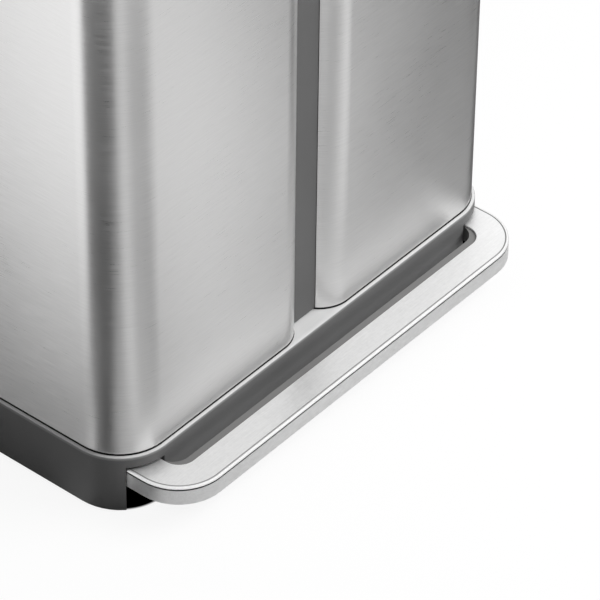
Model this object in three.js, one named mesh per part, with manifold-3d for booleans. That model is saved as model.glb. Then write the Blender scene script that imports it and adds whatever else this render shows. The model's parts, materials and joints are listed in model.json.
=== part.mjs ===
// Double recycling bin: a brushed steel body in two halves on a plastic base, two lift-out
// buckets, one lid, and a full-width pedal that opens the lid through two push rods.
// Millimetres, +Z up, +X to the right and the front facing -Y. Y is measured here from the
// steel front, and the last lines move the bin so that it stands centred on the origin.
import * as THREE from 'three';
import { mergeVertices } from 'three/addons/utils/BufferGeometryUtils.js';
import Module from 'manifold-3d';

const wasm = await Module();
wasm.setup();

// ---------- driving dimensions ----------
const bodyWidth = 500;
const bodyDepth = 328;
const bodyCornerRadius = 47;
const steelThickness = 1;
const seatGap = 0.3; // between pieces that touch
const runningGap = 0.5; // round moving shafts and hooks
const beyond = 1000; // past every face, for cuts that go right through

const baseTop = 62;
const baseBottom = 2.5;
const baseOverhang = 3.3; // how far the base stands out past the steel
const baseWall = 3.2;
const baseTopRound = 1.6;
const deckThickness = 3.5;
const shadowGap = 1.6; // dark line between base and steel
const locatingRibHeight = 10;
const locatingRibThickness = 3;
const crossRibX = 100;
const crossRibThickness = 2.4;
const footRadius = 9.5;
const footHeight = 6;
const footBossRadius = 11;
const frontFootFromSide = 70;
const rearFootFromSide = 55;
const frontFootFromFront = 18;
const rearFootFromBack = 15;

const bodyTop = 600;
const grooveRadius = 32; // rounded inner edge of each steel half
const grooveDepth = 14.2;
const grooveEdgeFromCentre = 42; // where each front panel starts to turn in
const stripThickness = 2.4;
const rearStripHalfWidth = 18.2;

const collarHeight = 19.2;
const bucketRimFromCentre = 5;
const bucketRimFromSide = 10.5;
const bucketRimFromFront = 9;
const bucketRimFromLidBack = 13.5;
const bucketRimLap = 4; // how far the rim lies on the collar
const bucketCornerRadius = 38;
const bucketRimHeight = 6.2;
const bucketWall = 2;
const bucketDraft = 9; // how much narrower the bucket is at its foot, each side
const bucketBottom = 72;

const lidGap = 2; // from the collar up to the lid
const lidTrimHeight = 4.5; // plastic edge that shows under the steel
const lidSkirtHeight = 21.5; // from the lid's lower edge up to where its top edge turns in
const lidEdgeRadius = 6;
const lidCrown = 2.5;
const lidPanelThickness = 2;
const fieldDepth = 2; // raised field over each bucket on the lid's underside
const fieldFromCentre = 16;
const fieldFromSide = 22;
const fieldFromFront = 20;
const fieldFromStrap = 4;
const lidFrameWall = 3;
const lidOpenAngle = 78;

const hingeFromBack = 14; // hinge pin's centre, ahead of the body's back
const hingeAboveLidEdge = 12.5;
const lidBackFromHinge = 14;
const hingePinRadius = 2.5;
const hingePinOverhang = 20; // past each arm
const housingRadius = 13;
const housingRearRound = 4;
const damperRadius = 10;
const damperLength = 64;
const armX = 70;
const armWidth = 12;
const armHubRadius = 7.5;
const armLobeWall = 3.2; // round the slot in each arm's lobe
const strapThickness = 5.5;
const strapLength = 74;

const rodX = 82;
const rodRadius = 2.5;
const rodFromHinge = 17;
const rodBend = 5;
const rodFootFloor = 6; // from the crossbar up to the rod's end
const rodPocketSide = 6; // room beside each arm and rod in the collar and the lid
const rodGuideBottom = 322;
const rodGuideHeight = 18;

const bumperX = 149;
const bumperFromFront = 1.5;
const bumperLength = 18;
const bumperThickness = 2.6;

const pedalTop = 48;
const pedalHeight = 19.1;
const pedalReach = 53.5; // front of the pedal, ahead of the steel
const pedalInset = 13.5; // each side of the pedal, inside the steel's width
const pedalBandWidth = 29.5;
const pedalCornerRadius = 46;
const pedalSheet = 1.5;
const pedalArmEnd = 30; // where the cap's arms end inside the base
const beadHeight = 2.6; // rounded bead along the pedal's upper edge
const beadGrooveDepth = 1; // dark line under the bead
const beadGrooveHeight = 0.8;
const creaseInset = 2.9; // fine crease on the pedal's top, in from its side
const creaseDepth = 0.35;
const ledgeWidth = 7.3; // how far the plastic core shows behind the front of the cap
const ledgeRadius = 17;
const ledgeOnArms = 0.5;
const notchOutsideGap = 1.1; // room round each pedal arm in the base's corner notches
const notchInsideGap = 2.8;
const notchTopGap = 2.5;

const pivotY = 120;
const pivotZ = 38;
const pedalAngle = 8.8;
const axleRadius = 4;
const bushRadius = 6.6;
const leverThickness = 5;
const leverHeight = 8;
const crossbarRadius = 4;
const tieFromFront = 19.5; // behind the pedal's front
const tieWidth = 12;
const tieHeight = 6;
const pedalScrewFromTieEnd = 68.95;
const pedalScrewRadius = 3.5;
const pedalScrewHeight = 1.2;
const armScrewRadius = 3.2;
const armScrewHeight = 1.6;
const armScrewFromStrapEnd = 10;
const armScrewPitch = 26;
const stopFromPivot = 58;
const stopLength = 14;
const stopWidth = 12;

// ---------- sizes that follow ----------
const DEG = Math.PI / 180;
const halfWidth = bodyWidth / 2;
const shellBottom = baseTop + shadowGap;
const deckUnderside = baseTop - deckThickness;
const collarBottom = bodyTop + seatGap;
const collarTop = collarBottom + collarHeight;
const lidBottom = collarTop + lidGap;
const lidSkirtTop = lidBottom + lidSkirtHeight;
const hingeY = bodyDepth - hingeFromBack;
const hingeZ = lidBottom + hingeAboveLidEdge;
const lidBack = hingeY - lidBackFromHinge;
const lidPanelZ = hingeZ + 2;
const rodY = hingeY - rodFromHinge;
const leverX = halfWidth - pedalInset - pedalBandWidth / 2;
const rodTravel = 2 * (rodY - pivotY) * Math.tan(pedalAngle / 2 * DEG);
const crossbarZ = pivotZ - rodTravel / 2;
const hookZ = hingeZ - rodTravel / 2;
const hingePinHalf = armX + armWidth / 2 + hingePinOverhang;
const strapTop = lidPanelZ - seatGap;
const strapBottom = strapTop - strapThickness;
const strapFront = lidBack - strapLength;
const rodFootZ = crossbarZ + crossbarRadius + rodFootFloor;
const pedalFoot = pedalTop - pedalHeight;
const notchOuterX = halfWidth - pedalInset + notchOutsideGap;
const notchInnerX = halfWidth - pedalInset - pedalBandWidth - notchInsideGap;
const ledgeFront = pedalReach - pedalBandWidth - ledgeWidth;
const tieFront = tieFromFront - pedalReach;
const stopY = pivotY - stopFromPivot;
const footSpots = {
  foot_front_left: [frontFootFromSide - halfWidth, frontFootFromFront],
  foot_front_right: [halfWidth - frontFootFromSide, frontFootFromFront],
  foot_rear_left: [rearFootFromSide - halfWidth, bodyDepth - rearFootFromBack],
  foot_rear_right: [halfWidth - rearFootFromSide, bodyDepth - rearFootFromBack],
};

// ---------- materials ----------
function finish(color, roughness, metalness) {
  return new THREE.MeshStandardMaterial({ color, roughness, metalness });
}
const brushedSteel = finish(0xc4c4c2, 0.34, 1);
const pedalSteel = finish(0xdcdcda, 0.3, 1);
const darkPlastic = finish(0x5c5c5b, 0.5, 0);
const greyPlastic = finish(0x6f6f6d, 0.5, 0);
const innerGrey = finish(0x8b8d8e, 0.55, 0);
const recyclingBlue = finish(0x2c5d93, 0.5, 0);
const plainSteel = finish(0x9a9a98, 0.4, 1);
const blackPlastic = finish(0x2a2a2b, 0.55, 0);
const rubber = finish(0x1c1c1c, 0.85, 0);

// ---------- helpers ----------
function merged(geometry) {
  const bare = geometry.index ? geometry.clone() : geometry;
  bare.deleteAttribute('normal');
  bare.deleteAttribute('uv');
  return mergeVertices(bare, 1e-4);
}

function toSolid(geometry) {
  const clean = merged(geometry);
  return new wasm.Manifold(new wasm.Mesh({
    numProp: 3,
    vertProperties: new Float32Array(clean.attributes.position.array),
    triVerts: new Uint32Array(clean.index.array),
  }));
}

function toGeometry(solid) {
  const mesh = solid.getMesh();
  const geometry = new THREE.BufferGeometry();
  geometry.setAttribute('position', new THREE.BufferAttribute(mesh.vertProperties, 3));
  geometry.setIndex(new THREE.BufferAttribute(mesh.triVerts, 1));
  return geometry;
}

function joined(...pieces) {
  return pieces.reduce((sum, piece) => sum.add(piece));
}

function without(body, ...cutters) {
  return cutters.reduce((rest, cutter) => rest.subtract(cutter), body);
}

function block(x0, x1, y0, y1, z0, z1) {
  const box = new THREE.BoxGeometry(x1 - x0, y1 - y0, z1 - z0);
  box.translate((x0 + x1) / 2, (y0 + y1) / 2, (z0 + z1) / 2);
  return toSolid(box);
}

function rodAlongX(x0, x1, y, z, radius, sides = 20) {
  const rod = new THREE.CylinderGeometry(radius, radius, x1 - x0, sides);
  rod.rotateZ(Math.PI / 2);
  rod.translate((x0 + x1) / 2, y, z);
  return toSolid(rod);
}

function rodAlongZ(x, y, z0, z1, radius, sides = 20) {
  const rod = new THREE.CylinderGeometry(radius, radius, z1 - z0, sides);
  rod.rotateX(Math.PI / 2);
  rod.translate(x, y, (z0 + z1) / 2);
  return toSolid(rod);
}

// A plan outline, drawn in X and Y, raised from z0 to z1.
function raised(points, z0, z1) {
  const body = new THREE.ExtrudeGeometry(new THREE.Shape(points), { depth: z1 - z0, bevelEnabled: false });
  body.translate(0, 0, z0);
  return toSolid(body);
}

// A side outline, drawn in Y and Z, extruded from x0 to x1.
function sideways(points, x0, x1) {
  const body = new THREE.ExtrudeGeometry(new THREE.Shape(points), { depth: x1 - x0, bevelEnabled: false });
  body.applyMatrix4(new THREE.Matrix4().set(0, 0, 1, x0, 1, 0, 0, 0, 0, 1, 0, 0, 0, 0, 0, 1));
  return toSolid(body);
}

function arc(cx, cy, radius, fromDeg, toDeg, steps) {
  const points = [];
  for (let i = 0; i <= steps; i += 1) {
    const angle = (fromDeg + (toDeg - fromDeg) * i / steps) * DEG;
    points.push(new THREE.Vector2(cx + radius * Math.cos(angle), cy + radius * Math.sin(angle)));
  }
  return points;
}

function roundedRect(x0, x1, y0, y1, radius, steps = 8) {
  return [
    ...arc(x1 - radius, y0 + radius, radius, -90, 0, steps),
    ...arc(x1 - radius, y1 - radius, radius, 0, 90, steps),
    ...arc(x0 + radius, y1 - radius, radius, 90, 180, steps),
    ...arc(x0 + radius, y0 + radius, radius, 180, 270, steps),
  ];
}

// The body's plan outline, drawn in by inset (or out, if it is negative).
function bodyOutline(inset, steps = 12) {
  const x = halfWidth - inset;
  return roundedRect(-x, x, inset, bodyDepth - inset, bodyCornerRadius - inset, steps);
}

// A skin over rings with the same number of points, each running anticlockwise as seen from
// the next ring. endFaces fills the two ends; without it the last ring joins the first.
function skinned(rings, endFaces) {
  const count = rings[0].length;
  const indices = [];
  const bands = endFaces ? rings.length - 1 : rings.length;
  for (let r = 0; r < bands; r += 1) {
    const low = r * count;
    const high = ((r + 1) % rings.length) * count;
    for (let i = 0; i < count; i += 1) {
      const next = (i + 1) % count;
      indices.push(low + i, low + next, high + next, low + i, high + next, high + i);
    }
  }
  const end = (rings.length - 1) * count;
  for (const [a, b, c] of endFaces ?? []) {
    indices.push(c, b, a, end + a, end + b, end + c);
  }
  const geometry = new THREE.BufferGeometry().setFromPoints(rings.flat());
  geometry.setIndex(indices);
  return toSolid(geometry);
}

// Plan outlines at rising heights. Each ring is {points, z}.
function stacked(rings, closesOnItself = false) {
  const faces = closesOnItself ? null : THREE.ShapeUtils.triangulateShape(rings[0].points, []);
  return skinned(rings.map(({ points, z }) => points.map(({ x, y }) => new THREE.Vector3(x, y, z))), faces);
}

// A round wire through points that share one Y.
function wire(points, radius, sides = 12) {
  const circle = arc(0, 0, radius, 0, 360 - 360 / sides, sides - 1);
  const depth = new THREE.Vector3(0, 1, 0);
  const rings = points.map((point, i) => {
    const tangent = new THREE.Vector3().subVectors(points[i + 1] ?? point, points[i - 1] ?? point);
    const across = new THREE.Vector3().crossVectors(depth, tangent.normalize());
    return circle.map(({ x, y }) => point.clone().addScaledVector(across, x).addScaledVector(depth, y));
  });
  return skinned(rings, THREE.ShapeUtils.triangulateShape(circle, []));
}

// All that lies ahead of a given Y.
function ahead(y) {
  return block(-beyond, beyond, -beyond, y, -beyond, beyond);
}

// Both sides of a shape drawn on the right-hand side.
function bothSides(make) {
  return joined(make(1), make(-1));
}

function mirrored(side, a, b) {
  return side > 0 ? [a, b] : [-b, -a];
}

const bin = new THREE.Group();
bin.name = 'double_recycling_bin';

function add(name, solid, material) {
  const mesh = new THREE.Mesh(toGeometry(solid), material);
  mesh.name = name;
  bin.add(mesh);
}

// ---------- base ----------
// Ribs just inside the steel that hold the two halves in line, at the foot or at the top.
function locatingRibs(z0, z1) {
  const inside = steelThickness + seatGap;
  const nearCentre = grooveEdgeFromCentre + 14;
  const nearCorner = halfWidth - bodyCornerRadius - 10;
  return bothSides((side) => {
    const [x0, x1] = mirrored(side, nearCentre, nearCorner);
    const [s0, s1] = mirrored(side, halfWidth - inside - locatingRibThickness, halfWidth - inside);
    return joined(
      block(x0, x1, inside, inside + locatingRibThickness, z0, z1),
      block(x0, x1, bodyDepth - inside - locatingRibThickness, bodyDepth - inside, z0, z1),
      block(s0, s1, bodyCornerRadius + 20, bodyDepth - bodyCornerRadius - 20, z0, z1),
    );
  });
}

function basePlinth() {
  const shell = stacked([
    { points: bodyOutline(-baseOverhang + 0.8), z: baseBottom },
    { points: bodyOutline(-baseOverhang), z: baseBottom + 0.8 },
    { points: bodyOutline(-baseOverhang), z: baseTop - baseTopRound },
    { points: bodyOutline(-baseOverhang + baseTopRound * 0.3), z: baseTop - baseTopRound * 0.3 },
    { points: bodyOutline(-baseOverhang + baseTopRound), z: baseTop },
  ]);
  const hollow = raised(bodyOutline(-baseOverhang + baseWall), 0, deckUnderside);
  const rodSlot = 11;
  const holes = bothSides((side) => {
    const [n0, n1] = mirrored(side, notchInnerX, notchOuterX);
    const [r0, r1] = mirrored(side, rodX - rodSlot, rodX + rodSlot);
    return joined(
      block(n0, n1, -pedalReach, bodyCornerRadius, 0, pedalTop + notchTopGap),
      block(r0, r1, rodY - rodSlot, rodY + rodSlot, 0, baseTop + 1),
    );
  });
  const crossRibs = bothSides((side) => {
    const [a, b] = mirrored(side, crossRibX, crossRibX + crossRibThickness);
    return joined(
      block(a, b, 1, pivotY - 14, pivotZ - 8, deckUnderside + 1),
      block(a, b, pivotY + 14, rodY - 14, pivotZ + 8, deckUnderside + 1),
    );
  });
  const bosses = Object.values(footSpots).map(([x, y]) => (
    rodAlongZ(x, y, footHeight + seatGap, deckUnderside + 1, footBossRadius, 24)
  ));
  const ribs = locatingRibs(baseTop - 1, baseTop + locatingRibHeight);
  return joined(without(shell, hollow), crossRibs, ...bosses, ribs).subtract(holes);
}
add('base_plinth', basePlinth(), darkPlastic);

for (const [name, [x, y]] of Object.entries(footSpots)) {
  const foot = stacked([
    { points: arc(x, y, footRadius - 1, 0, 345, 23), z: 0 },
    { points: arc(x, y, footRadius, 0, 345, 23), z: 1 },
    { points: arc(x, y, footRadius, 0, 345, 23), z: footHeight },
  ]);
  add(name, foot, rubber);
}

// ---------- steel halves ----------
// One half's outline from the groove floor round the front, side and back, set in by inset.
function halfPath(side, inset) {
  const floorAngle = Math.asin((grooveRadius - grooveDepth) / grooveRadius) / DEG;
  const corner = halfWidth - bodyCornerRadius;
  const right = [
    ...arc(grooveEdgeFromCentre, grooveRadius, grooveRadius - inset, 180 + floorAngle, 270, 8),
    ...arc(corner, bodyCornerRadius, bodyCornerRadius - inset, -90, 0, 12),
    ...arc(corner, bodyDepth - bodyCornerRadius, bodyCornerRadius - inset, 0, 90, 12),
    new THREE.Vector2(rearStripHalfWidth, bodyDepth - inset),
  ];
  return side > 0 ? right : right.map((point) => new THREE.Vector2(-point.x, point.y)).reverse();
}

function bodyShell(side) {
  const sheet = [...halfPath(side, 0), ...halfPath(side, steelThickness).reverse()];
  return raised(sheet, shellBottom, bodyTop);
}
add('left_body_shell', bodyShell(-1), brushedSteel);
add('right_body_shell', bodyShell(1), brushedSteel);

// The front strip is the groove's floor, with a flange that grips behind each steel edge.
function frontStrip() {
  const floorAngle = Math.asin((grooveRadius - grooveDepth) / grooveRadius) / DEG;
  const edge = grooveRadius - steelThickness - seatGap - 0.1;
  const half = grooveEdgeFromCentre - grooveRadius * Math.cos(floorAngle * DEG) - seatGap;
  const start = 180 + floorAngle - 1.5;
  const right = [
    new THREE.Vector2(half, grooveDepth + 0.2),
    ...arc(grooveEdgeFromCentre, grooveRadius, edge, start, 250, 5),
    ...arc(grooveEdgeFromCentre, grooveRadius, edge - stripThickness * 0.7, 250, start, 5),
    new THREE.Vector2(half, grooveDepth + 0.2 + stripThickness),
  ];
  const left = right.map((point) => new THREE.Vector2(-point.x, point.y)).reverse();
  return raised([...right, ...left], shellBottom, bodyTop);
}
add('front_channel_strip', frontStrip(), greyPlastic);

function rearStrip() {
  const face = bodyDepth - 0.2;
  const back = bodyDepth - steelThickness - seatGap;
  const half = rearStripHalfWidth - seatGap;
  const outline = [[-half, face], [-half, back], [-half * 2, back], [-half * 2, back - 2],
    [half * 2, back - 2], [half * 2, back], [half, back], [half, face]];
  return raised(outline.map(([x, y]) => new THREE.Vector2(x, y)), shellBottom, bodyTop);
}
add('rear_channel_strip', rearStrip(), greyPlastic);

// ---------- collar and buckets ----------
function bucketOutline(side, grow) {
  const [x0, x1] = mirrored(side, bucketRimFromCentre - grow, halfWidth - bucketRimFromSide + grow);
  const back = lidBack - bucketRimFromLidBack + grow;
  return roundedRect(x0, x1, bucketRimFromFront - grow, back, bucketCornerRadius + grow, 7);
}

// The width that a hinge arm and its push rod take up together.
function armAndRodWidth(side) {
  return mirrored(side, armX - armWidth / 2 - rodPocketSide, rodX + rodRadius + rodPocketSide / 2);
}

function topCollar() {
  const round = 1.2;
  const ring = stacked([
    { points: bodyOutline(0), z: collarBottom },
    { points: bodyOutline(0), z: collarTop - round },
    { points: bodyOutline(round), z: collarTop },
  ]);
  const openings = bothSides((side) => raised(bucketOutline(side, -bucketRimLap), -beyond, beyond));
  const pocketFront = lidBack - bucketRimFromLidBack + 1;
  const pockets = bothSides((side) => {
    const [x0, x1] = armAndRodWidth(side);
    return joined(
      block(x0, x1, pocketFront, hingeY - 5, hingeZ - 26, beyond),
      rodAlongZ(side * rodX, rodY, -beyond, beyond, rodRadius + runningGap + 1.5, 16),
    );
  });
  const ribs = locatingRibs(bodyTop - locatingRibHeight, collarBottom + 1);
  return joined(ring, ribs).subtract(openings).subtract(pockets);
}
add('top_collar', topCollar(), darkPlastic);

// An open bucket: up the outside, over the rim and down the inside.
function bucket(side) {
  const rimTop = collarTop + seatGap + bucketRimHeight;
  const rimFoot = collarTop + seatGap;
  const wallTop = -bucketRimLap - 1.5;
  const foot = wallTop - bucketDraft;
  const outside = [
    { grow: foot - 4, z: bucketBottom },
    { grow: foot - 1, z: bucketBottom + 1.5 },
    { grow: foot, z: bucketBottom + 5 },
    { grow: wallTop, z: rimFoot },
    { grow: 0, z: rimFoot },
    { grow: 0, z: rimTop - 1.5 },
    { grow: -1.5, z: rimTop },
    { grow: -4, z: rimTop },
    { grow: wallTop - bucketWall, z: rimTop - 4 },
    { grow: foot - bucketWall, z: bucketBottom + 7 },
    { grow: foot - bucketWall - 4, z: bucketBottom + 2.6 },
  ];
  return stacked(outside.map(({ grow, z }) => ({ points: bucketOutline(side, grow), z })));
}
add('left_bucket', bucket(-1), innerGrey);
add('right_bucket', bucket(1), recyclingBlue);

// ---------- hinge housing, damper and pin ----------
function hingeHousing() {
  const front = hingeY - housingRadius;
  const top = hingeZ + housingRadius;
  const bottom = collarTop + seatGap;
  const profile = [
    new THREE.Vector2(front, bottom),
    new THREE.Vector2(bodyDepth, bottom),
    ...arc(bodyDepth - housingRearRound, top - housingRearRound, housingRearRound, 0, 90, 4),
    ...arc(hingeY, hingeZ, housingRadius, 90, 180, 10),
  ];
  const bar = sideways(profile, -halfWidth, halfWidth).intersect(raised(bodyOutline(0), -beyond, beyond));
  const slots = bothSides((side) => {
    const [x0, x1] = mirrored(side, armX - armWidth / 2 - runningGap, armX + armWidth / 2 + runningGap);
    return block(x0, x1, front - 1, bodyDepth - 3, bottom - 1, top + 1);
  });
  const damperEnd = damperLength / 2 + 2;
  const damperSpace = rodAlongX(-damperEnd, damperEnd, hingeY, hingeZ, damperRadius, 28);
  const pinEnd = hingePinHalf + 2;
  const pinBore = rodAlongX(-pinEnd, pinEnd, hingeY, hingeZ, hingePinRadius + runningGap, 16);
  return without(bar, slots, damperSpace, pinBore);
}
add('hinge_housing', hingeHousing(), darkPlastic);

const damper = rodAlongX(-damperLength / 2, damperLength / 2, hingeY, hingeZ, damperRadius - seatGap, 28)
  .subtract(rodAlongX(-beyond, beyond, hingeY, hingeZ, hingePinRadius + runningGap, 16));
add('lid_damper', damper, blackPlastic);

add('hinge_pin', rodAlongX(-hingePinHalf, hingePinHalf, hingeY, hingeZ, hingePinRadius, 16), plainSteel);

// ---------- lid ----------
// The lid's outer form, drawn in by inset on every side and from below zFrom up.
function lidForm(inset, zFrom) {
  const rings = [{ points: bodyOutline(inset), z: zFrom }];
  const round = lidEdgeRadius - inset;
  for (let i = 0; i <= 4; i += 1) {
    const angle = i * 22.5 * DEG;
    rings.push({
      points: bodyOutline(inset + round * (1 - Math.cos(angle))),
      z: lidSkirtTop + round * Math.sin(angle),
    });
  }
  const flatTop = lidSkirtTop + round;
  for (const reach of [20, 34]) {
    rings.push({ points: bodyOutline(reach + inset), z: flatTop + lidCrown * (1 - (1 - reach / 44) ** 2) });
  }
  return stacked(rings);
}

function lidSkin() {
  const outer = lidForm(0, lidBottom + lidTrimHeight);
  const inner = lidForm(steelThickness, lidBottom);
  return outer.subtract(inner).intersect(ahead(lidBack));
}
add('lid_skin', lidSkin(), brushedSteel);

function lidFrame() {
  const inset = steelThickness + seatGap;
  const trimTop = lidBottom + lidTrimHeight - seatGap;
  const ring = stacked([
    { points: bodyOutline(0.4), z: lidBottom },
    { points: bodyOutline(0.4), z: trimTop },
    { points: bodyOutline(inset), z: trimTop },
    { points: bodyOutline(inset), z: lidPanelZ + 5 },
    { points: bodyOutline(inset + lidFrameWall), z: lidPanelZ + 5 },
    { points: bodyOutline(inset + lidFrameWall), z: lidBottom },
  ], true);
  const backEnd = lidForm(inset, lidBottom).intersect(ahead(lidBack));
  const backWall = backEnd.subtract(ahead(lidBack - lidFrameWall));
  const notches = bothSides((side) => {
    const [x0, x1] = armAndRodWidth(side);
    const [a0, a1] = mirrored(side, armX - armWidth / 2 - seatGap, armX + armWidth / 2 + seatGap);
    const front = lidBack - lidFrameWall - 1;
    return joined(
      block(x0, x1, front, beyond, -beyond, lidPanelZ),
      block(a0, a1, front, beyond, -beyond, hingeZ + armHubRadius + seatGap),
    );
  });
  return joined(ring.intersect(ahead(lidBack - 1)), backWall).subtract(notches);
}
add('lid_frame', lidFrame(), darkPlastic);

// The panel under the lid, with a shallow raised field over each bucket.
function lidPanel() {
  const inset = steelThickness + seatGap * 2 + lidFrameWall;
  const back = lidBack - lidFrameWall - seatGap;
  const plate = raised(bodyOutline(inset), lidPanelZ, lidPanelZ + lidPanelThickness)
    .intersect(ahead(back));
  const fields = bothSides((side) => {
    const [x0, x1] = mirrored(side, fieldFromCentre, halfWidth - fieldFromSide);
    const outline = roundedRect(x0, x1, fieldFromFront, strapFront - fieldFromStrap, 30, 6);
    return raised(outline, lidPanelZ - fieldDepth, lidPanelZ + lidPanelThickness / 2);
  });
  return joined(plate, fields);
}
add('lid_inner_panel', lidPanel(), greyPlastic);

// The path of the push rod's hook from shut to open, in Y and Z, as seen from the turning lid.
function hookPath(steps) {
  const pin = new THREE.Vector2(hingeY, hingeZ);
  return Array.from({ length: steps + 1 }, (_, i) => {
    const hook = new THREE.Vector2(hingeY - rodFromHinge, hingeZ + (i / steps - 0.5) * rodTravel);
    return hook.rotateAround(pin, lidOpenAngle * DEG * i / steps);
  });
}

// A solid along X that wraps a round of the given radius at every point of a path.
function wrapped(path, radius, x0, x1, sides) {
  return wasm.Manifold.hull(path.map(({ x: y, y: z }) => rodAlongX(x0, x1, y, z, radius, sides)));
}

// Each hinge arm: a strap under the lid, a hub on the pin and a lobe with the push rod's slot.
function hingeArm(side) {
  const [x0, x1] = mirrored(side, armX - armWidth / 2, armX + armWidth / 2);
  const path = hookPath(6);
  const slotRadius = rodRadius + runningGap;
  const lobeRadius = slotRadius + armLobeWall;
  const pin = new THREE.Vector2(hingeY, hingeZ);
  // The hook is furthest from the pin at both ends of its travel, and nearest half way up.
  const lobe = new THREE.Vector2().addVectors(path[0], path[3]).divideScalar(2);
  const [alongY, alongZ] = new THREE.Vector2().subVectors(lobe, pin).normalize().toArray();
  const across = new THREE.Vector2(-alongZ, alongY);
  const lobeUpper = lobe.clone().addScaledVector(across, -lobeRadius);
  const lobeLower = lobe.clone().addScaledVector(across, lobeRadius);
  const neck = [
    [hingeY, hingeZ + 7], [hingeY - 16, strapTop], [hingeY - 22, strapBottom],
    [lobeUpper.x, lobeUpper.y], [lobeLower.x, lobeLower.y], [hingeY + 4, hingeZ - 6],
  ].map(([y, z]) => new THREE.Vector2(y, z));
  const arm = joined(
    block(x0, x1, strapFront, hingeY - 14, strapBottom, strapTop),
    sideways(neck, x0, x1),
    rodAlongX(x0, x1, hingeY, hingeZ, armHubRadius, 24),
    wrapped(path, lobeRadius, x0, x1, 24),
  );
  const bore = rodAlongX(x0 - 1, x1 + 1, hingeY, hingeZ, hingePinRadius + seatGap, 16);
  return without(arm, bore, wrapped(path, slotRadius, x0 - 1, x1 + 1, 16));
}
add('hinge_arm_left', hingeArm(-1), plainSteel);
add('hinge_arm_right', hingeArm(1), plainSteel);

// ---------- push rods ----------
// A steel rod whose top is bent inwards into the hinge arm's slot.
function pushRod(side) {
  const inward = rodX - rodBend;
  const path = [
    [rodX, rodFootZ],
    ...arc(inward, hookZ - rodBend, rodBend, 0, 90, 6).map(({ x, y }) => [x, y]),
    [armX - armWidth / 2 - 3, hookZ],
  ];
  return wire(path.map(([x, z]) => new THREE.Vector3(side * x, rodY, z)), rodRadius);
}
add('left_push_rod', pushRod(-1), plainSteel);
add('right_push_rod', pushRod(1), plainSteel);

// The plastic foot on each rod straddles the lever's crossbar.
function rodFoot(side) {
  const x = side * rodX;
  const slack = 0.9;
  const top = rodFootZ + 10;
  const groove = joined(
    rodAlongX(x - 20, x + 20, rodY, crossbarZ, crossbarRadius + slack, 20),
    block(x - 20, x + 20, rodY - crossbarRadius - slack, rodY + crossbarRadius + slack, -beyond, crossbarZ),
  );
  const body = block(x - 8, x + 8, rodY - 9, rodY + 9, crossbarZ - 4, top);
  const socket = rodAlongZ(x, rodY, rodFootZ - seatGap, top + 1, rodRadius + seatGap, 16);
  return without(body, groove, socket);
}
add('left_rod_foot', rodFoot(-1), blackPlastic);
add('right_rod_foot', rodFoot(1), blackPlastic);

function rodGuide(side) {
  const x = side * rodX;
  const back = bodyDepth - steelThickness - seatGap;
  const body = block(x - 9, x + 9, rodY - 7, back, rodGuideBottom, rodGuideBottom + rodGuideHeight);
  return body.subtract(rodAlongZ(x, rodY, -beyond, beyond, rodRadius + seatGap, 16));
}
add('rod_guide_left', rodGuide(-1), blackPlastic);
add('rod_guide_right', rodGuide(1), blackPlastic);

// ---------- pedal ----------
// The pedal's U-shaped outline in plan, set in by inset from its outer side.
function pedalPath(inset) {
  const x = halfWidth - pedalInset;
  const cornerX = x - pedalCornerRadius;
  const cornerY = pedalCornerRadius - pedalReach;
  const radius = pedalCornerRadius - inset;
  return [
    new THREE.Vector2(-x + inset, pedalArmEnd),
    ...arc(-cornerX, cornerY, radius, 180, 270, 12),
    ...arc(cornerX, cornerY, radius, 270, 360, 12),
    new THREE.Vector2(x - inset, pedalArmEnd),
  ];
}

// The cap's cross-section: an outer skirt, a shadow groove, a rounded bead, a fine crease
// and the flat top. Each point is its distance in from the outer side and its height.
function capSection() {
  const beadFoot = pedalTop - beadHeight;
  const grooveFoot = beadFoot - beadGrooveHeight;
  const innerFace = pedalSheet + beadGrooveDepth;
  const inner = pedalBandWidth;
  return [
    [0.3, pedalFoot], [0, pedalFoot + 0.4], [0, grooveFoot - 0.2], [beadGrooveDepth, grooveFoot],
    [beadGrooveDepth, beadFoot - 0.1], [0.2, beadFoot], [0, pedalTop - 1.8], [0.35, pedalTop - 0.9],
    [1.1, pedalTop - 0.2], [2, pedalTop], [creaseInset - 0.35, pedalTop],
    [creaseInset, pedalTop - creaseDepth], [creaseInset + 0.35, pedalTop], [inner - 0.4, pedalTop],
    [inner, pedalTop - 0.4], [inner, pedalTop - pedalSheet], [innerFace, pedalTop - pedalSheet],
    [innerFace, grooveFoot - 0.8], [pedalSheet, grooveFoot - 1.4], [pedalSheet, pedalFoot],
  ];
}

function pedalCap() {
  const section = capSection().map(([inset, z]) => new THREE.Vector2(inset, z)).reverse();
  const paths = section.map((point) => pedalPath(point.x));
  const rings = paths[0].map((_, station) => (
    section.map((point, i) => new THREE.Vector3(paths[i][station].x, paths[i][station].y, point.y))
  ));
  return skinned(rings, THREE.ShapeUtils.triangulateShape(section, []));
}
add('pedal_cap', pedalCap(), pedalSteel);

const coreTop = pedalTop - pedalSheet - seatGap;
const coreBottom = pedalFoot + 1.3;
const leverBottom = coreBottom + 0.1;
const leverTop = leverBottom + leverHeight;
const tieBack = tieFront + tieWidth;

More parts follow.
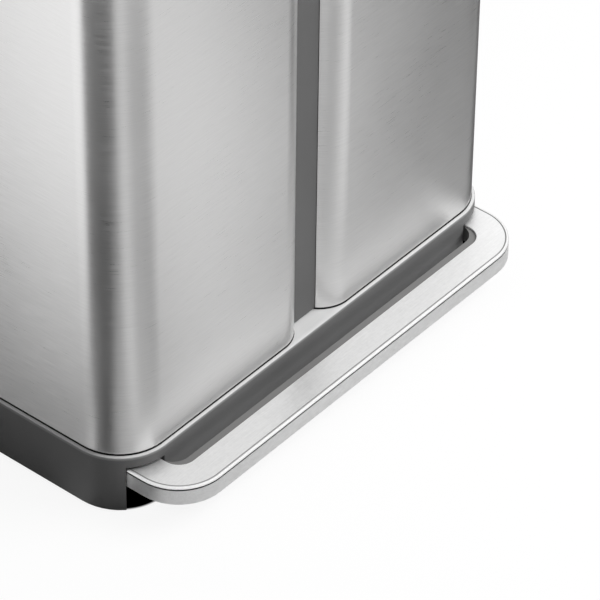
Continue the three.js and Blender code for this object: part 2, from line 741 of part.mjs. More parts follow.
// The plastic core fills the cap, shows as a ledge along its inner edge, and has slots
// underneath for the lever's arms and tie.
function pedalCore() {
  const slack = seatGap + 0.1;
  const innerX = halfWidth - pedalInset - pedalBandWidth - ledgeOnArms;
  const outer = pedalPath(pedalSheet + beadGrooveDepth + seatGap);
  const inner = [
    new THREE.Vector2(innerX, pedalArmEnd),
    ...arc(innerX - ledgeRadius, ledgeRadius - ledgeFront, ledgeRadius, 360, 270, 8),
    ...arc(ledgeRadius - innerX, ledgeRadius - ledgeFront, ledgeRadius, 270, 180, 8),
    new THREE.Vector2(-innerX, pedalArmEnd),
  ];
  const body = raised([...outer, ...inner], coreBottom, coreTop);
  const tieEnd = leverX + leverThickness;
  const tieTop = leverBottom + tieHeight + slack;
  const tieSlot = block(-tieEnd, tieEnd, tieFront - slack, tieBack + slack, -beyond, tieTop);
  const armSlots = bothSides((side) => {
    const half = leverThickness / 2 + slack;
    const [x0, x1] = mirrored(side, leverX - half, leverX + half);
    return block(x0, x1, tieFront - slack, beyond, -beyond, leverTop + slack);
  });
  return without(body, tieSlot, armSlots);
}
add('pedal_core', pedalCore(), greyPlastic);

// Each lever arm runs from the pedal past the pivot and down to the crossbar.
function leverArm(side) {
  const [x0, x1] = mirrored(side, leverX - leverThickness / 2, leverX + leverThickness / 2);
  const hub = 11;
  const end = 6.5;
  const outline = [
    [tieFront, leverBottom], [pivotY - 14, leverBottom], [pivotY - 4, pivotZ - hub + 0.6],
    [pivotY + 4, pivotZ - hub + 0.6], [rodY - 2, crossbarZ - end], [rodY + 2, crossbarZ + end],
    [pivotY + 6, pivotZ + hub - 1.4], [pivotY - 6, pivotZ + hub - 1.4], [pivotY - 24, leverTop],
    [tieFront, leverTop],
  ].map(([y, z]) => new THREE.Vector2(y, z));
  const arm = joined(
    sideways(outline, x0, x1),
    rodAlongX(x0, x1, pivotY, pivotZ, hub, 28),
    rodAlongX(x0, x1, rodY, crossbarZ, end, 20),
  );
  return without(
    arm,
    rodAlongX(-beyond, beyond, pivotY, pivotZ, bushRadius + seatGap, 24),
    rodAlongX(-beyond, beyond, rodY, crossbarZ, crossbarRadius + seatGap, 20),
  );
}
add('lever_arm_left', leverArm(-1), plainSteel);
add('lever_arm_right', leverArm(1), plainSteel);

function armBush(side) {
  const [x0, x1] = mirrored(side, leverX - leverThickness / 2 - 0.2, leverX + leverThickness / 2 + 3);
  const [f0, f1] = mirrored(side, leverX + leverThickness / 2 + seatGap, leverX + leverThickness / 2 + 3);
  return joined(
    rodAlongX(x0, x1, pivotY, pivotZ, bushRadius, 24),
    rodAlongX(f0, f1, pivotY, pivotZ, bushRadius + 2, 24),
  ).subtract(rodAlongX(-beyond, beyond, pivotY, pivotZ, axleRadius + seatGap, 20));
}
add('arm_bush_left', armBush(-1), blackPlastic);
add('arm_bush_right', armBush(1), blackPlastic);

const crossbarHalf = leverX + leverThickness / 2 + 2;
const crossbar = rodAlongX(-crossbarHalf, crossbarHalf, rodY, crossbarZ, crossbarRadius, 20);
add('lever_crossbar', crossbar, plainSteel);

const tieHalf = leverX - leverThickness / 2 - seatGap;
const tie = block(-tieHalf, tieHalf, tieFront, tieBack, leverBottom, leverBottom + tieHeight);
add('lever_tie', tie, plainSteel);

// ---------- axle and saddles ----------
const axleHalf = halfWidth - 10;
add('pedal_axle', rodAlongX(-axleHalf, axleHalf, pivotY, pivotZ, axleRadius, 20), plainSteel);

function axleSaddle(side) {
  const [x0, x1] = mirrored(side, leverX + leverThickness / 2 + 4.5, halfWidth - 8);
  const outline = [
    new THREE.Vector2(pivotY - 13, deckUnderside - seatGap),
    new THREE.Vector2(pivotY - 13, pivotZ),
    ...arc(pivotY, pivotZ, 9, 180, 360, 10),
    new THREE.Vector2(pivotY + 13, pivotZ),
    new THREE.Vector2(pivotY + 13, deckUnderside - seatGap),
  ];
  const [b0, b1] = mirrored(side, 0, axleHalf + seatGap);
  return sideways(outline, x0, x1).subtract(rodAlongX(b0, b1, pivotY, pivotZ, axleRadius + seatGap, 20));
}
add('axle_saddle_left', axleSaddle(-1), blackPlastic);
add('axle_saddle_right', axleSaddle(1), blackPlastic);

// Rubber blocks under the deck that the lever arms come up against at rest.
function pedalStop(side) {
  const x = side * leverX;
  const [x0, x1] = [x - stopWidth / 2, x + stopWidth / 2];
  return block(x0, x1, stopY, stopY + stopLength, leverTop + seatGap, deckUnderside - seatGap);
}
add('pedal_stop_left', pedalStop(-1), rubber);
add('pedal_stop_right', pedalStop(1), rubber);

// ---------- small pieces ----------
for (const [name, side] of [['lid_bumper_left', -1], ['lid_bumper_right', 1]]) {
  const [x0, x1] = mirrored(side, bumperX - bumperLength / 2, bumperX + bumperLength / 2);
  const bumper = block(x0, x1, bumperFromFront, bumperFromFront + bumperThickness, collarTop + seatGap,
    lidBottom - seatGap);
  add(name, bumper, rubber);
}

function screw(x, y, headTop, radius, height) {
  return rodAlongZ(x, y, headTop - height, headTop, radius, 12);
}

const tieMiddle = (tieFront + tieBack) / 2;
for (const place of [1, 2, 3, 4]) {
  const x = (tieHalf - pedalScrewFromTieEnd) * (place - 2.5) / 1.5;
  const head = screw(x, tieMiddle, leverBottom - seatGap, pedalScrewRadius, pedalScrewHeight);
  add(`pedal_screw_${place}`, head, plainSteel);
}

for (const [name, x] of [['left', -armX], ['right', armX]]) {
  const frontY = strapFront + armScrewFromStrapEnd;
  for (const [place, y] of [['front', frontY], ['rear', frontY + armScrewPitch]]) {
    const head = screw(x, y, strapBottom - seatGap, armScrewRadius, armScrewHeight);
    add(`arm_screw_${name}_${place}`, head, plainSteel);
  }
}

// ---------- stand it on the origin ----------
const frontmost = -pedalReach;
const rearmost = bodyDepth + baseOverhang;
bin.position.y = -(frontmost + rearmost) / 2;
bin.updateMatrixWorld(true);

export default bin;
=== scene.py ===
"""Looks of a double recycling bin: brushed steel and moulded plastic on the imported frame.

Lengths are in metres, in the frame's own axes: +X to the right, -Y to the front, +Z up.
"""
import json
import math
import bmesh
import bpy
from mathutils import Matrix, Vector

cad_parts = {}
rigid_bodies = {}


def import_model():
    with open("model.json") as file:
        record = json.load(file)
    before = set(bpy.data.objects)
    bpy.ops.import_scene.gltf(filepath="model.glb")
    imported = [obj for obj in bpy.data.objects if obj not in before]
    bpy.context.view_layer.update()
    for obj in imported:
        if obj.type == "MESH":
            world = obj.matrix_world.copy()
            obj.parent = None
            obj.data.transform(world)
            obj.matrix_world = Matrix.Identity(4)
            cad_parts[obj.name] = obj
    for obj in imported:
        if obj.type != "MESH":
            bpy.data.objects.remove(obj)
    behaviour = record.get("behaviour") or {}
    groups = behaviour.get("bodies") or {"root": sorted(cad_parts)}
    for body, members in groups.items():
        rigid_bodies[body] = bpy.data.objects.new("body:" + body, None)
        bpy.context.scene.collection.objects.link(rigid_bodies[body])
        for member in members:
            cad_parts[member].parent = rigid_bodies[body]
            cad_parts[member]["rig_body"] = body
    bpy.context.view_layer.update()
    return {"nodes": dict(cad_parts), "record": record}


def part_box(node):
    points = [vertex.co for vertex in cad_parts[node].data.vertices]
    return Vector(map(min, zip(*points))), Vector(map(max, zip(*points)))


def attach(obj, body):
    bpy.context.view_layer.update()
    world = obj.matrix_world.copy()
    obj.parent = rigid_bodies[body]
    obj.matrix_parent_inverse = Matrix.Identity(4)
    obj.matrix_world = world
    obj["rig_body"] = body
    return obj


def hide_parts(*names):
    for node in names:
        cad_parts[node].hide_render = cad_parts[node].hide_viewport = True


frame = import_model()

MM = 0.001

# ---------- camera, solved from the photograph ----------
CAMERA_PLACE = Vector((-2147.7, -1880.9, 2387.0)) * MM
CAMERA_YAW = math.radians(50.6546)
CAMERA_PITCH = math.radians(39.7224)
CAMERA_ROLL = math.radians(-0.695)
CAMERA_LENS = 249.26
SENSOR_WIDTH = 36.0


def add_camera():
    forward = Vector((
        math.sin(CAMERA_YAW) * math.cos(CAMERA_PITCH),
        math.cos(CAMERA_YAW) * math.cos(CAMERA_PITCH),
        -math.sin(CAMERA_PITCH),
    ))
    level = Vector((math.cos(CAMERA_YAW), -math.sin(CAMERA_YAW), 0.0))
    plumb = forward.cross(level)
    right = math.cos(CAMERA_ROLL) * level + math.sin(CAMERA_ROLL) * plumb
    down = math.cos(CAMERA_ROLL) * plumb - math.sin(CAMERA_ROLL) * level
    data = bpy.data.cameras.new("photo_camera")
    data.lens = CAMERA_LENS
    data.sensor_width = SENSOR_WIDTH
    camera = bpy.data.objects.new("photo_camera", data)
    turn = Matrix((right, -down, -forward)).transposed()
    camera.matrix_world = Matrix.Translation(CAMERA_PLACE) @ turn.to_4x4()
    bpy.context.scene.collection.objects.link(camera)
    bpy.context.scene.camera = camera


# ---------- materials ----------
class Shader:
    """A Principled material with short calls for its nodes."""

    def __init__(self, name):
        self.material = bpy.data.materials.new(name)
        self.material.use_nodes = True
        self.tree = self.material.node_tree
        self.surface = self.tree.nodes["Principled BSDF"]
        self.place = self.node("ShaderNodeTexCoord").outputs["Object"]

    def node(self, kind, **values):
        made = self.tree.nodes.new(kind)
        for key, value in values.items():
            setattr(made, key, value)
        return made

    def link(self, output, socket):
        self.tree.links.new(output, socket)

    def noise(self, scale, detail=3.0, rough=0.55):
        """Noise whose scale is features per metre along X, Y and Z."""
        mapping = self.node("ShaderNodeMapping")
        mapping.inputs["Scale"].default_value = scale
        self.link(self.place, mapping.inputs["Vector"])
        texture = self.node("ShaderNodeTexNoise")
        texture.inputs["Scale"].default_value = 1.0
        texture.inputs["Detail"].default_value = detail
        texture.inputs["Roughness"].default_value = rough
        self.link(mapping.outputs["Vector"], texture.inputs["Vector"])
        return texture.outputs["Fac"]

    def mixed(self, first, second, share):
        """Two values in one, with this share of the second."""
        mix = self.node("ShaderNodeMix", data_type="FLOAT")
        mix.inputs["Factor"].default_value = share
        self.link(first, mix.inputs["A"])
        self.link(second, mix.inputs["B"])
        return mix.outputs["Result"]

    def ranged(self, value, low, high):
        """Noise, which lies mostly between 0.3 and 0.7, spread between two values."""
        spread = self.node("ShaderNodeMapRange")
        spread.inputs["From Min"].default_value = 0.3
        spread.inputs["From Max"].default_value = 0.7
        spread.inputs["To Min"].default_value = low
        spread.inputs["To Max"].default_value = high
        self.link(value, spread.inputs["Value"])
        return spread.outputs["Result"]

    def colour(self, value, dark, light):
        """Makes the base colour go from dark to light with the noise."""
        mix = self.node("ShaderNodeMix", data_type="RGBA")
        mix.inputs["A"].default_value = (*dark, 1.0)
        mix.inputs["B"].default_value = (*light, 1.0)
        self.link(self.ranged(value, 0.0, 1.0), mix.inputs["Factor"])
        self.link(mix.outputs["Result"], self.surface.inputs["Base Color"])

    def roughness(self, value, low, high):
        self.link(self.ranged(value, low, high), self.surface.inputs["Roughness"])

    def bump(self, value, depth, strength):
        bump = self.node("ShaderNodeBump")
        bump.inputs["Distance"].default_value = depth
        bump.inputs["Strength"].default_value = strength
        self.link(value, bump.inputs["Height"])
        self.link(bump.outputs["Normal"], self.surface.inputs["Normal"])


def maths(tree, operation, *values):
    made = tree.nodes.new("ShaderNodeMath")
    made.operation = operation
    for socket, value in zip(made.inputs, values):
        if isinstance(value, (int, float)):
            socket.default_value = value
        else:
            tree.links.new(value, socket)
    return made.outputs[0]


def product(tree, first, *others):
    for value in others:
        first = maths(tree, "MULTIPLY", first, value)
    return first


def fade(tree, value, start, end, low=0.0, high=1.0):
    """A smooth step from low to high as value goes from start to end."""
    made = tree.nodes.new("ShaderNodeMapRange")
    made.interpolation_type = "SMOOTHSTEP"
    made.inputs["From Min"].default_value = start
    made.inputs["From Max"].default_value = end
    made.inputs["To Min"].default_value = low
    made.inputs["To Max"].default_value = high
    tree.links.new(value, made.inputs["Value"])
    return made.outputs["Result"]


def object_place(tree):
    split = tree.nodes.new("ShaderNodeSeparateXYZ")
    tree.links.new(tree.nodes.new("ShaderNodeTexCoord").outputs["Object"], split.inputs["Vector"])
    return split.outputs


def hypotenuse(tree, across, along):
    squares = [product(tree, value, value) for value in (across, along)]
    return maths(tree, "SQRT", maths(tree, "ADD", *squares))


def beyond_outline(tree, place, low, high, radius):
    """How far a place lies outside a rounded rectangle in plan, and negative inside it."""
    reach = []
    for axis in (0, 1):
        middle = (low[axis] + high[axis]) / 2
        flat = (high[axis] - low[axis]) / 2 - radius
        away = maths(tree, "ABSOLUTE", maths(tree, "SUBTRACT", place[axis], middle))
        reach.append(maths(tree, "SUBTRACT", away, flat))
    corner = hypotenuse(tree, *(maths(tree, "MAXIMUM", value, 0.0) for value in reach))
    inner = maths(tree, "MINIMUM", maths(tree, "MAXIMUM", reach[0], reach[1]), 0.0)
    return maths(tree, "SUBTRACT", maths(tree, "ADD", corner, inner), radius)


def beyond_groove(tree, place):
    """How far a place lies outside the steel's rounded edges at the groove, and negative inside."""
    across = maths(tree, "SUBTRACT", GROOVE_HALF_WIDTH, maths(tree, "ABSOLUTE", place[0]))
    ahead = maths(tree, "SUBTRACT", STEEL_LOW.y + GROOVE_RADIUS, place[1])
    away = hypotenuse(tree, *(maths(tree, "MAXIMUM", value, 0.0) for value in (across, ahead)))
    return maths(tree, "SUBTRACT", away, GROOVE_RADIUS)


def recoloured(material, mask, colour):
    """Lays one colour over a material's own, where the mask is 1."""
    tree = material.node_tree
    surface = tree.nodes["Principled BSDF"]
    mix = tree.nodes.new("ShaderNodeMix")
    mix.data_type = "RGBA"
    mix.inputs["B"].default_value = (*colour, 1.0)
    tree.links.new(mask, mix.inputs["Factor"])
    tree.links.new(surface.inputs["Base Color"].links[0].from_socket, mix.inputs["A"])
    tree.links.new(mix.outputs["Result"], surface.inputs["Base Color"])


def grey(level, warmth=0.0):
    return (level * (1.0 + warmth), level, level * (1.0 - warmth))


def brushed_steel(name, level, grain, roughness, stretch):
    """Brushed steel: grain is the scale of its lines, stretch how far it draws out reflections."""
    shader = Shader(name)
    lines = shader.noise(grain, detail=4.0, rough=0.6)
    clouds = shader.noise((9.0, 9.0, 7.0), detail=2.0)
    shader.surface.inputs["Metallic"].default_value = 1.0
    shader.surface.inputs["Anisotropic"].default_value = stretch
    shader.surface.inputs["Anisotropic Rotation"].default_value = 0.25
    around = shader.node("ShaderNodeTangent", direction_type="RADIAL", axis="Z")
    shader.link(around.outputs["Tangent"], shader.surface.inputs["Tangent"])
    both = shader.mixed(lines, clouds, 0.25)
    shader.colour(both, grey(level * 0.93, STEEL_WARMTH), grey(level * 1.05, STEEL_WARMTH))
    shader.roughness(both, roughness - 0.05, roughness + 0.06)
    shader.bump(lines, BRUSHING_DEPTH, 0.3)
    return shader.material


def pressed_steel(name, level):
    """The pedal's steel: fine brushing, mottled marks, painted shade in the groove under its bead,
    and a painted shade line along a crease.
    """
    shader = Shader(name)
    tree = shader.tree
    lines = shader.noise((60.0, 900.0, 900.0), detail=4.0, rough=0.6)
    marks = shader.noise((260.0, 330.0, 330.0), detail=6.0, rough=0.7)
    shader.surface.inputs["Metallic"].default_value = 0.78
    both = shader.mixed(lines, marks, 0.5)
    shader.colour(both, grey(level * 0.88), grey(level * 1.04))
    shader.roughness(marks, 0.32, 0.52)
    shader.bump(both, PEDAL_MARK_DEPTH, 0.5)

    place = object_place(tree)
    # painted shade: the groove under the bead is laid over in near black
    low, high = PEDAL_GROOVE_SHADE
    above = fade(tree, place[2], low, low + THIN_BLEND)
    below = fade(tree, place[2], high - THIN_BLEND, high, 1.0, 0.0)
    recoloured(shader.material, product(tree, above, below), grey(0.02))
    # painted shade: a thin grey line along the crease on the pedal's top
    outline = beyond_outline(tree, place, PEDAL_LOW, PEDAL_HIGH, PEDAL_RADIUS)
    from_crease = maths(tree, "ABSOLUTE", maths(tree, "ADD", outline, PEDAL_CREASE_INSET))
    near = fade(tree, from_crease, 0.3 * MM, 0.9 * MM, 1.0, 0.0)
    on_top = fade(tree, place[2], PEDAL_TOP - 1.0 * MM, PEDAL_TOP - 0.6 * MM)
    recoloured(shader.material, product(tree, near, on_top), grey(0.30))
    return shader.material


def moulded(name, colour, roughness=0.45, grain=1500.0):
    """Satin moulded plastic with a fine grain and a little unevenness."""
    shader = Shader(name)
    fine = shader.noise((grain, grain, grain), detail=2.0)
    broad = shader.noise((14.0, 14.0, 10.0), detail=3.0)
    shader.colour(broad, tuple(c * 0.94 for c in colour), tuple(c * 1.06 for c in colour))
    shader.roughness(broad, roughness - 0.04, roughness + 0.05)
    shader.bump(fine, GRAIN_DEPTH, 0.3)
    return shader.material


def plastic_with_painted_ledge(name, colour, ledge_highlight_level):
    """The base's plastic, with a painted highlight along its narrow top ledge and painted shade in
    the gap under the steel.
    """
    material = moulded(name, colour)
    tree = material.node_tree
    place = object_place(tree)
    turn = tree.nodes.new("ShaderNodeSeparateXYZ")
    normal = tree.nodes.new("ShaderNodeNewGeometry").outputs["Normal"]
    tree.links.new(normal, turn.inputs["Vector"])
    high = fade(tree, place[2], BASE_TOP - 3.5 * MM, BASE_TOP - 2.5 * MM)
    facing_up = fade(tree, turn.outputs["Z"], 0.05, 0.6)
    outline = beyond_outline(tree, place, STEEL_LOW, STEEL_HIGH, CORNER_RADIUS)
    beyond_steel = maths(tree, "MAXIMUM", outline, beyond_groove(tree, place))
    outside = fade(tree, beyond_steel, 0.1 * MM, 0.5 * MM)
    # painted highlight: the upward-facing top ledge outside the steel is laid over in pale grey
    recoloured(material, product(tree, high, facing_up, outside), grey(ledge_highlight_level))
    # painted shade: the base's top under the steel, in the shadow gap, is made nearly black
    painted_gap_shade = maths(tree, "SUBTRACT", 1.0, outside)
    recoloured(material, product(tree, high, painted_gap_shade), grey(0.012))
    return material


def plated(name, level):
    """Zinc-plated mild steel, a little cloudy."""
    shader = Shader(name)
    clouds = shader.noise((90.0, 90.0, 90.0), detail=5.0)
    shader.surface.inputs["Metallic"].default_value = 1.0
    shader.colour(clouds, grey(level * 0.85), grey(level * 1.1))
    shader.roughness(clouds, 0.3, 0.5)
    return shader.material


def rubber(name, level):
    """Matt rubber with fine specks."""
    shader = Shader(name)
    specks = shader.noise((800.0, 800.0, 800.0), detail=3.0)
    shader.colour(specks, grey(level * 0.8), grey(level * 1.3))
    shader.roughness(specks, 0.75, 0.92)
    shader.bump(specks, RUBBER_DEPTH, 0.4)
    return shader.material


STEEL_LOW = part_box("left_body_shell")[0]
STEEL_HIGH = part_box("right_body_shell")[1]
CORNER_RADIUS = 47 * MM
GROOVE_HALF_WIDTH = 42 * MM
GROOVE_RADIUS = 32 * MM
BASE_TOP = STEEL_LOW.z - 1.6 * MM
PEDAL_LOW, PEDAL_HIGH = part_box("pedal_cap")
PEDAL_TOP = PEDAL_HIGH.z
PEDAL_HIGH = PEDAL_HIGH + Vector((0.0, 0.3, 0.0))  # its outline is open behind
PEDAL_RADIUS = 46 * MM
# the height band of the groove under the bead, where shade is painted
PEDAL_GROOVE_SHADE = (PEDAL_TOP - 3.6 * MM, PEDAL_TOP - 2.0 * MM)
PEDAL_CREASE_INSET = 2.9 * MM
THIN_BLEND = 0.1 * MM

# Depths of the bumps, and features per metre of the steel's brushing along X, Y and Z.
BRUSHING_DEPTH = 0.03 * MM
PEDAL_MARK_DEPTH = 0.06 * MM
GRAIN_DEPTH = 0.05 * MM
RUBBER_DEPTH = 0.1 * MM
ROUND_BRUSHING = (45.0, 45.0, 1500.0)
FLAT_BRUSHING = (25.0, 1300.0, 1300.0)
STEEL_WARMTH = 0.004
GREY_BUCKET = (0.28, 0.29, 0.30)
BLUE_BUCKET = (0.025, 0.12, 0.34)
BUCKET_FINISH = {"roughness": 0.5, "grain": 900.0}

MATERIALS = {
    "body_steel": brushed_steel("body_steel", 0.80, ROUND_BRUSHING, roughness=0.31, stretch=0.8),
    "lid_steel": brushed_steel("lid_steel", 0.78, FLAT_BRUSHING, roughness=0.3, stretch=0.55),
    "pedal_steel": pressed_steel("pedal_steel", 0.95),
    "plain_steel": plated("plain_steel", 0.55),
    # the base's plastic carries a painted highlight on its top ledge and painted shade in the gap
    # under the steel
    "base_plastic": plastic_with_painted_ledge("base_plastic", grey(0.115), ledge_highlight_level=0.58),
    "strip_plastic": moulded("strip_plastic", grey(0.09)),
    "core_plastic": moulded("core_plastic", grey(0.17, 0.01)),
    "collar_plastic": moulded("collar_plastic", grey(0.12)),
    "lid_plastic": moulded("lid_plastic", grey(0.12)),
    "grey_bucket_plastic": moulded("grey_bucket_plastic", GREY_BUCKET, **BUCKET_FINISH),
    "blue_bucket_plastic": moulded("blue_bucket_plastic", BLUE_BUCKET, **BUCKET_FINISH),
    "black_plastic": moulded("black_plastic", grey(0.03), roughness=0.5),
    "foot_rubber": rubber("foot_rubber", 0.02),
}
SLOT_OF = {part["node"]: part["material_slot"] for part in frame["record"]["subparts"]}


# ---------- surfaces ----------
SMOOTH_BELOW = math.radians(34)

# Rounding on the sharp edges of moulded and pressed pieces, in millimetres.
ROUNDED_EDGES = {
    0.3: ("left_body_shell", "right_body_shell", "front_channel_strip", "lid_skin",
          "lid_bumper_left", "lid_bumper_right"),
    0.4: ("top_collar", "lid_frame", "lever_arm_left", "lever_arm_right", "hinge_arm_left",
          "hinge_arm_right"),
    0.5: ("base_plinth", "pedal_core", "lever_tie"),
    0.6: ("hinge_housing", "left_bucket", "right_bucket", "left_rod_foot", "right_rod_foot",
          "rod_guide_left", "rod_guide_right"),
    0.8: ("lid_inner_panel", "pedal_stop_left", "pedal_stop_right"),
}
EDGE_ROUNDING = {node: size * MM for size, nodes in ROUNDED_EDGES.items() for node in nodes}
JOINED_BELOW = 0.002 * MM  # corners this close become one
FLAT_BELOW = math.radians(0.4)


def smooth_piece(node):
    """Puts a smooth-shaded copy in a solid's place, with whole flats and rounded sharp edges."""
    solid = frame["nodes"][node]
    mesh = bpy.data.meshes.new(f"{node}_surface")
    work = bmesh.new()
    work.from_mesh(solid.data)
    bmesh.ops.remove_doubles(work, verts=work.verts, dist=JOINED_BELOW)
    bmesh.ops.dissolve_limit(work, angle_limit=FLAT_BELOW, verts=work.verts, edges=work.edges)
    for face in work.faces:
        face.smooth = True
    for edge in work.edges:
        edge.smooth = edge.is_manifold and edge.calc_face_angle() < SMOOTH_BELOW
    work.to_mesh(mesh)
    work.free()
    piece = bpy.data.objects.new(f"{node}_surface", mesh)
    bpy.context.scene.collection.objects.link(piece)
    mesh.materials.clear()
    mesh.materials.append(MATERIALS[SLOT_OF[node]])
    if node in EDGE_ROUNDING:
        bevel = piece.modifiers.new("edge_rounding", "BEVEL")
        bevel.width = EDGE_ROUNDING[node]
        bevel.segments = 2
        bevel.limit_method = "ANGLE"
        bevel.angle_limit = SMOOTH_BELOW
        bevel.use_clamp_overlap = True
        bevel.harden_normals = True
    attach(piece, solid["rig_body"])
    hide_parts(node)


# ---------- studio ----------
FLOOR_REACH = 12.0
FLOOR_PAPER = 0.86
FLOOR_GLOW = 0.92  # share of plain white in what is seen of the floor
FLOOR_SHADE_REACH = 0.04
# painted shadow: the floor is darkened under the bin, from this far inside the base's outline
UNDER_BIN = (-6 * MM, -3 * MM)  # the floor turns dark this far inside the base's outline
ROOM_LIGHT = 0.07
BASE_OVERHANG = 3.3 * MM


def square_board(name, reach, material):
    corners = [(-reach, -reach, 0.0), (reach, -reach, 0.0), (reach, reach, 0.0), (-reach, reach, 0.0)]
    mesh = bpy.data.meshes.new(name)
    mesh.from_pydata(corners, [], [[0, 1, 2, 3]])
    mesh.materials.append(material)
    made = bpy.data.objects.new(name, mesh)
    bpy.context.scene.collection.objects.link(made)
    return made


def seen_or_mirrored(tree):
    """1 for rays from the camera, a mirror or glass, and 0 for the rest."""
    rays = tree.nodes.new("ShaderNodeLightPath").outputs
    polished = maths(tree, "MAXIMUM", rays["Is Glossy Ray"], rays["Is Transmission Ray"])
    return maths(tree, "MAXIMUM", rays["Is Camera Ray"], polished)


def floor_material():
    """Pale paper: white where it is seen or mirrored, with painted shadow under the bin and painted
    contact shade close against it.
    """
    material = bpy.data.materials.new("pale_floor")
    material.use_nodes = True
    tree = material.node_tree
    paper = tree.nodes["Principled BSDF"]
    paper.inputs["Base Color"].default_value = (*grey(FLOOR_PAPER), 1.0)
    paper.inputs["Roughness"].default_value = 0.9
    paper.inputs["Specular IOR Level"].default_value = 0.0
    shade = tree.nodes.new("ShaderNodeAmbientOcclusion")
    shade.samples = 12
    shade.inputs["Distance"].default_value = FLOOR_SHADE_REACH
    overhang = Vector((BASE_OVERHANG, BASE_OVERHANG, 0.0))
    clear = beyond_outline(tree, object_place(tree), STEEL_LOW - overhang, STEEL_HIGH + overhang,
                           CORNER_RADIUS + BASE_OVERHANG)
    # painted shade: the floor's glow fades to dark close against the bin by ambient occlusion, and
    # under it by its outline
    glow_with_painted_shade = product(tree, fade(tree, shade.outputs["AO"], 0.05, 0.50, 0.25, 1.0),
                       fade(tree, clear, *UNDER_BIN))
    glow = tree.nodes.new("ShaderNodeEmission")
    tree.links.new(glow_with_painted_shade, glow.inputs["Strength"])
    share = product(tree, seen_or_mirrored(tree), fade(tree, clear, *UNDER_BIN, 1.0, FLOOR_GLOW))
    mix = tree.nodes.new("ShaderNodeMixShader")
    tree.links.new(share, mix.inputs["Fac"])
    tree.links.new(paper.outputs["BSDF"], mix.inputs[1])
    tree.links.new(glow.outputs["Emission"], mix.inputs[2])
    tree.links.new(mix.outputs["Shader"], tree.nodes["Material Output"].inputs["Surface"])
    return material


def soft_room():
    """An even pale room: weaker as a light than as the background that is seen and mirrored."""
    world = bpy.data.worlds.new("soft_room")
    world.use_nodes = True
    tree = world.node_tree
    background = tree.nodes["Background"]
    background.inputs["Color"].default_value = (1.0, 1.0, 1.0, 1.0)
    strength = tree.nodes.new("ShaderNodeMapRange")
    strength.inputs["To Min"].default_value = ROOM_LIGHT
    strength.inputs["To Max"].default_value = 1.0
    tree.links.new(seen_or_mirrored(tree), strength.inputs["Value"])
    tree.links.new(strength.outputs["Result"], background.inputs["Strength"])
    return world


def area_lamp(name, place, aim, side, power):
    """A square lamp that shows in no reflection."""
    data = bpy.data.lights.new(name, "AREA")
    data.shape = "RECTANGLE"
    data.size = data.size_y = side
    data.energy = power
    lamp = bpy.data.objects.new(name, data)
    lamp.location = place
    lamp.rotation_mode = "QUATERNION"
    lamp.rotation_quaternion = (Vector(aim) - Vector(place)).to_track_quat("-Z", "Y")
    lamp.visible_glossy = False
    bpy.context.scene.collection.objects.link(lamp)


# Brightness of the reflector by direction round the bin's front left corner: 0 is +X, 90 is +Y.
REFLECTOR_BANDS = [
    (90, 0.74), (116, 0.93), (131, 0.95), (142, 1.25), (159, 1.20), (173, 0.13), (187, 0.02),
    (201, 0.03), (219, 0.34), (238, 0.62), (260, 0.41), (286, 0.37), (316, 0.79), (327, 0.50),
    (341, 0.22), (353, 0.04), (370, 0.20), (400, 0.50),
]
BRIGHTEST_BAND = 1.25
BAND_SEAM = 45.0  # degrees: the first and last band meet behind the bin
BAND_LEAN = 0.03  # how strongly the bands lean to the right close to the bin
LEAN_SOFTNESS = 0.03
REFLECTOR_REACH = 1.6
REFLECTOR_HEIGHT = 1.5 * MM

# Changes of brightness over the board. Each row is a fade to the north, from start to end, times one
# to the east, in metres from the corner. A fade goes from 0 to 1 unless it has two more numbers.
BOARD_SHADES = (
    ((-0.06, 0.06), (-0.56, -0.08, 0.0, -0.82)),  # beside the bin's left side
    ((-0.20, -0.13, 0.0, 0.3), (0.40, 0.55)),  # in front of its right corner
    ((-0.42, -0.15, 0.20, -0.18), (0.08, 0.25)),  # in front of both halves
)
FAR_RIGHT = (0.42, 1.00, 1.0, 0.45)
# The dark band grows darker away from the corner, between these directions in degrees.
DARK_BAND_FROM = (160.9, 169.2)
DARK_BAND_TO = (216.0, 228.6)
DARK_BAND_REACH = (0.20, 0.60, 0.0, 0.8)

# An even card right in front of the pedal.
PEDAL_CARD = 0.44
CARD_FROM = (-0.160, -0.135)
CARD_TO = (-0.09, -0.05)
CARD_LEFT_END = (-0.19, -0.13)


def band_place(direction):
    """A direction in degrees as a share of a full turn from the seam."""
    return (direction - BAND_SEAM) / 360.0


def banded(tree, share):
    """The bands' brightness, with the brightest band at 1."""
    bands = tree.nodes.new("ShaderNodeValToRGB")
    bands.color_ramp.interpolation = "EASE"
    stops = bands.color_ramp.elements
    while len(stops) > 1:
        stops.remove(stops[0])
    for i, (direction, level) in enumerate(REFLECTOR_BANDS):
        stop = stops[0] if i == 0 else stops.new(band_place(direction))
        stop.position = band_place(direction)
        stop.color = (*grey(level / BRIGHTEST_BAND), 1.0)
    tree.links.new(share, bands.inputs["Fac"])
    return bands.outputs["Color"]


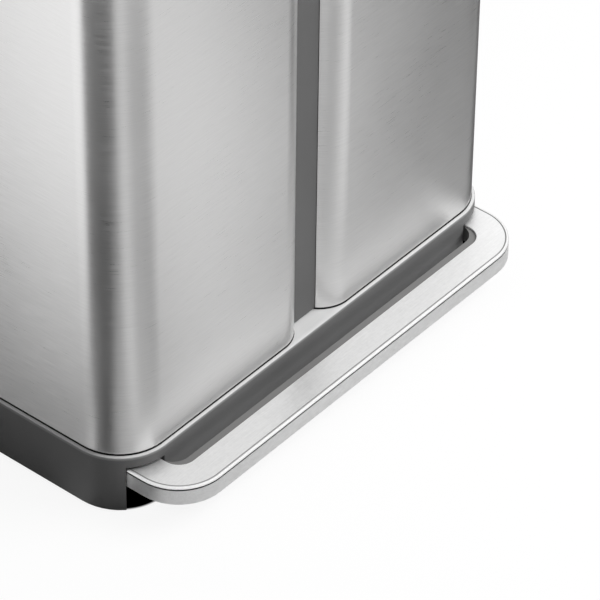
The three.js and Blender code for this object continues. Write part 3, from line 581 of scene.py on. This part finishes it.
def board_level(tree, east, north):
    """The board's brightness at a place, from its bands, its shades and the pedal's card."""
    reach = hypotenuse(tree, east, north)
    lean = maths(tree, "DIVIDE", BAND_LEAN, maths(tree, "ADD", reach, LEAN_SOFTNESS))
    angle = maths(tree, "SUBTRACT", maths(tree, "ARCTAN2", north, east), lean)
    from_seam = maths(tree, "SUBTRACT", angle, math.radians(BAND_SEAM))
    turns = maths(tree, "DIVIDE", from_seam, 2.0 * math.pi)
    share = maths(tree, "FRACT", maths(tree, "ADD", turns, 1.0))

    level = product(tree, banded(tree, share), fade(tree, east, *FAR_RIGHT), BRIGHTEST_BAND)
    for over_north, over_east in BOARD_SHADES:
        change = product(tree, fade(tree, north, *over_north), fade(tree, east, *over_east))
        level = product(tree, level, maths(tree, "ADD", change, 1.0))
    band_start = fade(tree, share, *map(band_place, DARK_BAND_FROM))
    band_end = fade(tree, share, *map(band_place, DARK_BAND_TO), 1.0, 0.0)
    deeper = product(tree, band_start, band_end, fade(tree, reach, *DARK_BAND_REACH))
    level = product(tree, level, maths(tree, "SUBTRACT", 1.0, deeper))

    on_card = product(tree, fade(tree, north, *CARD_FROM), fade(tree, north, *CARD_TO, 1.0, 0.0),
                      fade(tree, east, *CARD_LEFT_END))
    evened = product(tree, on_card, maths(tree, "SUBTRACT", PEDAL_CARD, level))
    return maths(tree, "ADD", level, evened)


def reflector(corner):
    """A low board that only polished surfaces see, graded as a studio's flags and cards would be."""
    material = bpy.data.materials.new("reflector")
    material.use_nodes = True
    tree = material.node_tree
    surface = tree.nodes["Principled BSDF"]
    surface.inputs["Base Color"].default_value = (0.0, 0.0, 0.0, 1.0)
    surface.inputs["Specular IOR Level"].default_value = 0.0
    surface.inputs["Emission Color"].default_value = (1.0, 1.0, 1.0, 1.0)
    east, north, _ = object_place(tree)
    tree.links.new(board_level(tree, east, north), surface.inputs["Emission Strength"])

    board = square_board("reflector", REFLECTOR_REACH, material)
    board.location = (*corner, REFLECTOR_HEIGHT)
    for kind in ("camera", "diffuse", "transmission", "shadow"):
        setattr(board, f"visible_{kind}", False)


def add_studio():
    square_board("floor", FLOOR_REACH, floor_material())
    bpy.context.scene.world = soft_room()
    area_lamp("key", place=(1.4, -1.6, 2.0), aim=(0.0, 0.0, 0.2), side=1.8, power=95.0)
    area_lamp("overhead", place=(0.3, -0.4, 2.6), aim=(0.0, 0.0, 0.0), side=2.4, power=20.0)
    reflector((STEEL_LOW.x + CORNER_RADIUS, STEEL_LOW.y + CORNER_RADIUS))


for node_name in frame["nodes"]:
    smooth_piece(node_name)
add_studio()
add_camera()
bpy.context.scene.view_settings.view_transform = "Standard"
